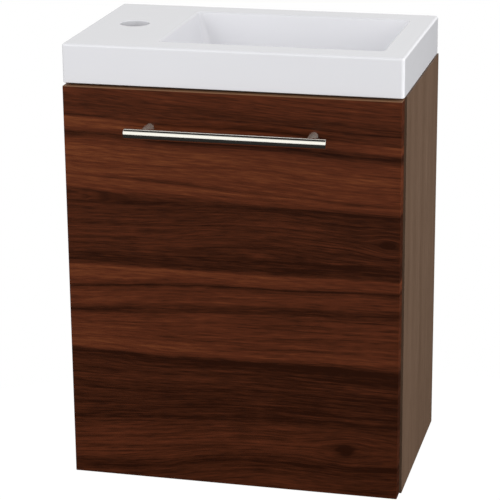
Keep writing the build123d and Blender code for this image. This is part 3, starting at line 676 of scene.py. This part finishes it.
def basin_surface(size):
    """The basin as one closed sheet of rings, from the waste hole up the bowl, over the rim and back.

    Each ring is a rounded rectangle or a circle. In the bowl its half sizes shrink with depth by the
    tangent of the draft. The floor fillet and the lip are arcs that touch the sloped wall: an arc of
    radius r between a level face and a wall that leans by a leaves each face r tan((90 - a) / 2)
    from where they would meet.
    """
    low, high = BASIN_LOW, BASIN_HIGH
    rim, base, under = high.z, SEAL_HIGH.z, low.z
    width, depth = high.x - low.x, high.y - low.y
    mid_x, mid_y = (low.x + high.x) / 2, (low.y + high.y) / 2
    bowl_x = mid_x + (size.left_land - size.right_land) / 2
    bowl_y = mid_y + (size.front_land - size.back_land) / 2
    half_x = (width - size.left_land - size.right_land) / 2
    half_y = (depth - size.front_land - size.back_land) / 2
    lean = math.degrees(size.bowl_draft)
    touch = math.tan(math.radians((90 - lean) / 2))
    floor = rim - size.bowl_depth

    def bowl(down, grow, corner):
        inset = down * math.tan(size.bowl_draft) - grow
        return (bowl_x, bowl_y, half_x - inset, half_y - inset, corner, rim - down)

    def circle(radius, level):
        return (bowl_x, bowl_y, radius, radius, radius, level)

    def outer(inset, level, corner):
        return (mid_x, mid_y, width / 2 - inset, depth / 2 - inset, corner, level)

    hole, seat, soft = size.waste_hole / 2, size.waste_seat / 2, size.seat_edge
    seat_level = floor - size.seat_depth
    table = [circle(hole, under), circle(hole, seat_level - soft), circle(hole + soft, seat_level),
             circle(seat - soft, seat_level), circle(seat, floor - soft), circle(seat + soft, floor)]
    foot = bowl(size.bowl_depth, 0.0, size.floor_corner)
    for spread, rise in arc(0.0, size.floor_fillet, size.floor_fillet, -90, -lean, 10):
        edge = size.floor_fillet * touch - spread
        table.append((*foot[:2], foot[2] - edge, foot[3] - edge, max(foot[4] - edge, soft), floor + rise))
    for spread, rise in arc(0.0, -size.lip, size.lip, 180 - lean, 90, 8):
        edge = size.lip * touch + spread
        table.append((bowl_x, bowl_y, half_x + edge, half_y + edge, size.bowl_corner + edge, rim + rise))
    for spread, rise in arc(0.0, -size.rim_edge, size.rim_edge, 90, 0, 6):
        table.append(outer(size.rim_edge - spread, rim + rise, size.rim_corner - size.rim_edge + spread))
    for spread, rise in arc(0.0, size.base_edge, size.base_edge, 0, -90, 3):
        inset = size.base_edge - spread
        table.append(outer(inset, base + rise, size.rim_corner - inset))
    inner = (mid_x, mid_y + (size.front_skirt - size.back_skirt) / 2, width / 2 - size.side_skirt,
             (depth - size.front_skirt - size.back_skirt) / 2, soft)
    wall, below = size.bowl_wall, size.bowl_depth + size.bowl_wall
    table += [(*inner, base), (*inner, rim - size.deck),
              bowl(size.deck + soft / 2, wall, size.bowl_corner + wall),
              bowl(below, wall, size.floor_corner + wall),
              circle(size.waste_boss / 2, rim - below), circle(size.waste_boss / 2, under)]
    points = rings(table)
    return points, grid_faces(*points.shape[:2], close_rows=True, close_columns=True)


def tap_profile(size):
    """Profile of the cut for the tap hole: (height, radius), flared to a quarter circle at the deck."""
    rim, radius, soft = BASIN_HIGH.z, size.tap_hole / 2, size.tap_edge
    above, under = rim + size.deck / 2, rim - 1.5 * size.deck
    edge = [(rim - soft + rise, radius + soft - spread) for spread, rise in arc(0.0, 0.0, soft, 80, 0, 5)]
    return [(above, 0.0), (above, radius + 2 * soft), (rim + soft / 6, radius + soft), *edge,
            (under, radius), (under, 0.0)]


def turned(name, profile, axis, origin, finish, steps=64):
    """A turned piece: a profile of (distance along the axis, radius) carried round the axis."""
    angle = np.linspace(0, 2 * np.pi, steps, endpoint=False)
    along, radius = np.asarray(profile, float).T
    ring = np.stack([np.cos(angle), np.sin(angle)], -1)
    points = np.zeros((len(along), steps, 3))
    points[..., axis] = along[:, None]
    points[..., [(axis + 1) % 3, (axis + 2) % 3]] = radius[:, None, None] * ring
    points += np.asarray(origin, float)
    faces = grid_faces(len(along), steps, close_columns=True)[:, ::-1]
    return mesh_object(name, points, faces, finish)


def crisp(piece, angle=32.0):
    """Marks edges sharper than an angle, and weights normals by face size."""
    piece.data.set_sharp_from_angle(angle=math.radians(angle))
    weighted = piece.modifiers.new("even shading", "WEIGHTED_NORMAL")
    weighted.keep_sharp = True
    weighted.weight = 90


def baked(piece):
    """Replaces an object's mesh by the result of its modifiers."""
    graph = bpy.context.evaluated_depsgraph_get()
    mesh = bpy.data.meshes.new_from_object(piece.evaluated_get(graph))
    piece.modifiers.clear()
    old = piece.data
    piece.data = mesh
    bpy.data.meshes.remove(old)


def hand_over(piece, body, slot, *nodes):
    """Lets a piece ride on a body and stand for frame nodes, which it hides; the slot is not used."""
    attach(piece, body)
    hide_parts(*nodes)


# Operators

class VANITY_OT_basin(Operator):
    """Builds the one-piece basin as one closed surface"""

    bl_idname = "vanity.basin"
    bl_label = "Basin"

    def execute(self, context):
        size = context.scene.vanity.basin
        finish = gloss_white(size)
        piece = mesh_object("basin_casting", *basin_surface(size), finish)
        middle = (BASIN_LOW.x + size.tap_place, -size.tap_back, 0.0)
        cutter = turned("tap_hole_cutter", tap_profile(size), 2, middle, finish)
        cut = piece.modifiers.new("tap hole", "BOOLEAN")
        cut.operation, cut.solver, cut.object = "DIFFERENCE", "EXACT", cutter
        baked(piece)
        bpy.data.objects.remove(cutter)
        crisp(piece)
        hand_over(piece, "carcass", "basin_white", "basin")
        dress(sealant(), "basin_seal")
        return {"FINISHED"}


class VANITY_OT_door(Operator):
    """Finishes the door and its buffers"""

    bl_idname = "vanity.door"
    bl_label = "Door"

    def execute(self, context):
        dress(walnut_front(context.scene.vanity.wood), "door")
        dress(moulded("clear rubber", (0.58, 0.58, 0.56), 0.35), "door_buffers")
        return {"FINISHED"}


class VANITY_OT_carcass(Operator):
    """Finishes the side panels, the bottom and the rails"""

    bl_idname = "vanity.carcass"
    bl_label = "Carcass"

    def execute(self, context):
        wood = context.scene.vanity.wood
        dress(walnut_board(wood, "walnut upright", True), "left_side_panel", "right_side_panel")
        dress(walnut_board(wood, "walnut lying", False), "bottom_panel", "front_rail", "rear_rail",
              "lower_rear_rail")
        dress(plain_wood(), "dowels")
        return {"FINISHED"}


class VANITY_OT_handle(Operator):
    """Turns the bar of the handle and its two posts"""

    bl_idname = "vanity.handle"
    bl_label = "Handle"

    def execute(self, context):
        metal = context.scene.vanity.metal
        finish = brushed("satin steel", metal.satin, metal.satin_roughness)
        post_finish = brushed("post satin steel", metal.satin, metal.satin_roughness,
                              metal.post_metallic)
        low, high = BAR_LOW, BAR_HIGH
        radius, edge = (high.z - low.z) / 2, metal.bar_edge
        end = arc(high.x - edge, radius - edge, edge, 90, 0, 4)
        start = [(low.x + high.x - x, r) for x, r in end[::-1]]
        centre = (0.0, (low.y + high.y) / 2, (low.z + high.z) / 2)
        bar = turned("handle_bar_turned", [(low.x, 0.0), *start, *end, (high.x, 0.0)], 0, centre, finish)
        crisp(bar)
        hand_over(bar, "door", "satin_steel", "handle_bar")
        post_low, post_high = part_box("handle_posts")
        post_radius = (post_high.z - post_low.z) / 2
        reach = centre[1] - post_high.y
        profile = [(post_high.y, 0.0), (post_high.y, post_radius), (post_high.y + reach, post_radius),
                   (post_high.y + reach, 0.0)]
        for side, x in (("left", post_low.x + post_radius), ("right", post_high.x - post_radius)):
            place = (x, 0.0, centre[2])
            post = turned(f"handle_post_{side}", profile[::-1], 1, place, post_finish, steps=40)
            crisp(post)
            hand_over(post, "door", "satin_steel", "handle_posts")
        return {"FINISHED"}


class VANITY_OT_hinges(Operator):
    """Finishes the concealed hinges, their screws and pins"""

    bl_idname = "vanity.hinges"
    bl_label = "Hinges"

    def execute(self, context):
        metal = context.scene.vanity.metal
        nickel = plated("nickel plating", metal.nickel, metal.plated_roughness)
        zinc = plated("zinc plating", metal.zinc, metal.plated_roughness + metal.zinc_dulling)
        for which in ("upper", "lower"):
            dress(nickel, *(f"{which}_hinge_{part}" for part in
                            ("cup", "outer_link", "inner_link", "arm", "plate", "spring")))
        dress(zinc, "hinge_arm_pins", "hinge_cup_pins", "hinge_cup_screws", "hinge_plate_screws",
              "hinge_adjusters", "handle_screws")
        return {"FINISHED"}


class VANITY_OT_hangers(Operator):
    """Finishes the cabinet hangers, wall plates, cam bolts and cams"""

    bl_idname = "vanity.hangers"
    bl_label = "Hangers and fittings"

    def execute(self, context):
        metal = context.scene.vanity.metal
        zinc = plated("zinc plating", metal.zinc, metal.plated_roughness + metal.zinc_dulling)
        for side in ("left", "right"):
            dress(zinc, f"{side}_wall_plate", f"{side}_hanger_hook")
            dress(moulded("white plastic", (0.74, 0.74, 0.72), 0.5), f"{side}_hanger_housing")
        dress(zinc, "hanger_screws", "cam_bolts", "cam_locks")
        return {"FINISHED"}


class VANITY_OT_stage(Operator):
    """Sets up the camera, the lamps, the room light and the floor"""

    bl_idname = "vanity.stage"
    bl_label = "Stage"

    def execute(self, context):
        stage = context.scene.vanity.stage
        self.camera(context, stage)
        for name in ("key", "fill", "side"):
            self.lamp(stage, name)
        self.room(context, stage)
        self.floor(stage)
        context.scene.view_settings.view_transform = "Standard"
        return {"FINISHED"}

    def camera(self, context, stage):
        """Camera turned by yaw, pitch and roll from its place."""
        view = bpy.data.cameras.new("camera")
        view.sensor_width, view.lens = 36.0, stage.lens
        view.clip_end = 50.0
        camera = bpy.data.objects.new("camera", view)
        yaw, pitch, roll = stage.yaw, stage.pitch, stage.roll
        ahead = Vector((-math.sin(yaw) * math.cos(pitch), math.cos(yaw) * math.cos(pitch),
                        -math.sin(pitch)))
        right = ahead.cross(Vector((0, 0, 1))).normalized()
        up = right.cross(ahead)
        right, up = (right * math.cos(roll) + up * math.sin(roll),
                     up * math.cos(roll) - right * math.sin(roll))
        turn = Matrix((right, up, -ahead)).transposed().to_4x4()
        camera.matrix_world = Matrix.Translation(stage.camera_place) @ turn
        context.scene.collection.objects.link(camera)
        context.scene.camera = camera

    def lamp(self, stage, name):
        """Square area lamp that faces the unit; gloss shows the room instead of it."""
        place = Vector(getattr(stage, f"{name}_place"))
        data = bpy.data.lights.new(f"{name}_lamp", "AREA")
        data.shape = "SQUARE"
        data.size = getattr(stage, f"{name}_size")
        data.energy = getattr(stage, f"{name}_power")
        lamp = bpy.data.objects.new(f"{name}_lamp", data)
        turn = (Vector(stage.lamp_aim) - place).to_track_quat("-Z", "Y").to_matrix().to_4x4()
        lamp.matrix_world = Matrix.Translation(place) @ turn
        lamp.visible_glossy = False
        bpy.context.scene.collection.objects.link(lamp)

    def room(self, context, stage):
        """World: white to the eye, plain soft light on matt surfaces, and for gloss its own room.

        In gloss the room is bright in front, less bright behind, and dark below and high above.
        """
        world = bpy.data.worlds.new("room")
        context.scene.world = world
        world.use_nodes = True
        world.node_tree.nodes.clear()
        wiring = Wiring(world.node_tree)
        path = wiring.node("ShaderNodeLightPath").outputs
        _, back, rise = wiring.split(wiring.node("ShaderNodeTexCoord").outputs["Generated"])
        round_about = wiring.remap(back, -0.10, 0.30, stage.bright, stage.behind, smooth=True)
        wall = wiring.remap(rise, -0.12, 0.0, stage.dim, round_about, smooth=True)
        wall = wiring.remap(rise, 0.80, 0.93, wall, stage.dim, smooth=True)
        strength = wiring.remap(path["Is Glossy Ray"], 0.0, 1.0, stage.ambient, wall)
        plain = wiring.math("MAXIMUM", path["Is Camera Ray"], path["Is Transmission Ray"])
        strength = wiring.remap(plain, 0.0, 1.0, strength, 1.0)
        shine = wiring.node("ShaderNodeBackground", {"Color": (1, 1, 1, 1), "Strength": strength})
        wiring.node("ShaderNodeOutputWorld", {"Surface": shine.outputs["Background"]})

    def floor(self, stage):
        """Round floor: white to the eye, grey under the lamps, and left out of gloss."""
        made = bpy.data.materials.new("pale floor")
        made.use_nodes = True
        made.node_tree.nodes.clear()
        wiring = Wiring(made.node_tree)
        path = wiring.node("ShaderNodeLightPath").outputs
        matt = wiring.node("ShaderNodeBsdfDiffuse", {"Color": opaque([stage.floor_shade] * 3)})
        white = wiring.node("ShaderNodeEmission", {"Color": (1, 1, 1, 1), "Strength": stage.floor_glow})
        seen = wiring.math("MULTIPLY", path["Is Camera Ray"], stage.floor_white)
        blend = wiring.node("ShaderNodeMixShader", {"Fac": seen})
        wiring.set(blend.inputs[1], matt.outputs["BSDF"])
        wiring.set(blend.inputs[2], white.outputs["Emission"])
        wiring.node("ShaderNodeOutputMaterial", {"Surface": blend.outputs["Shader"]})
        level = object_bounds()[0][2] - stage.floor_drop
        corners = 96
        angle = np.linspace(0, 2 * np.pi, corners, endpoint=False)
        edge = np.stack([np.cos(angle), np.sin(angle)], -1) * stage.floor_radius
        edge = np.column_stack([edge, np.full(corners, level)])
        floor = mesh_object("floor", edge, np.arange(corners)[None, :], made)
        floor.visible_glossy = False
        floor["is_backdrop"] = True


STEPS = ("basin", "door", "carcass", "handle", "hinges", "hangers", "stage")


class VANITY_PT_panel(Panel):
    """Lists the pieces of the vanity unit"""

    bl_idname = "VANITY_PT_panel"
    bl_label = "Vanity unit"
    bl_space_type = "VIEW_3D"
    bl_region_type = "UI"
    bl_category = "Vanity"

    def draw(self, context):
        for step in STEPS:
            self.layout.operator(f"vanity.{step}")
        for group in ("basin", "wood", "metal", "stage"):
            box = self.layout.box()
            settings = getattr(context.scene.vanity, group)
            for name in settings.__annotations__:
                box.prop(settings, name)


CLASSES = (BasinSettings, WoodSettings, MetalSettings, StageSettings, VanitySettings, VANITY_OT_basin,
           VANITY_OT_door, VANITY_OT_carcass, VANITY_OT_handle, VANITY_OT_hinges, VANITY_OT_hangers,
           VANITY_OT_stage, VANITY_PT_panel)


def register():
    """Registers the classes and the scene's settings."""
    for item in CLASSES:
        bpy.utils.register_class(item)
    bpy.types.Scene.vanity = PointerProperty(type=VanitySettings)


def unregister():
    """Takes the classes and the settings away."""
    del bpy.types.Scene.vanity
    for item in reversed(CLASSES):
        bpy.utils.unregister_class(item)


def main():
    """Registers the classes and builds everything."""
    register()
    for step in STEPS:
        getattr(bpy.ops.vanity, step)()


if __name__ == "__main__":
    main()
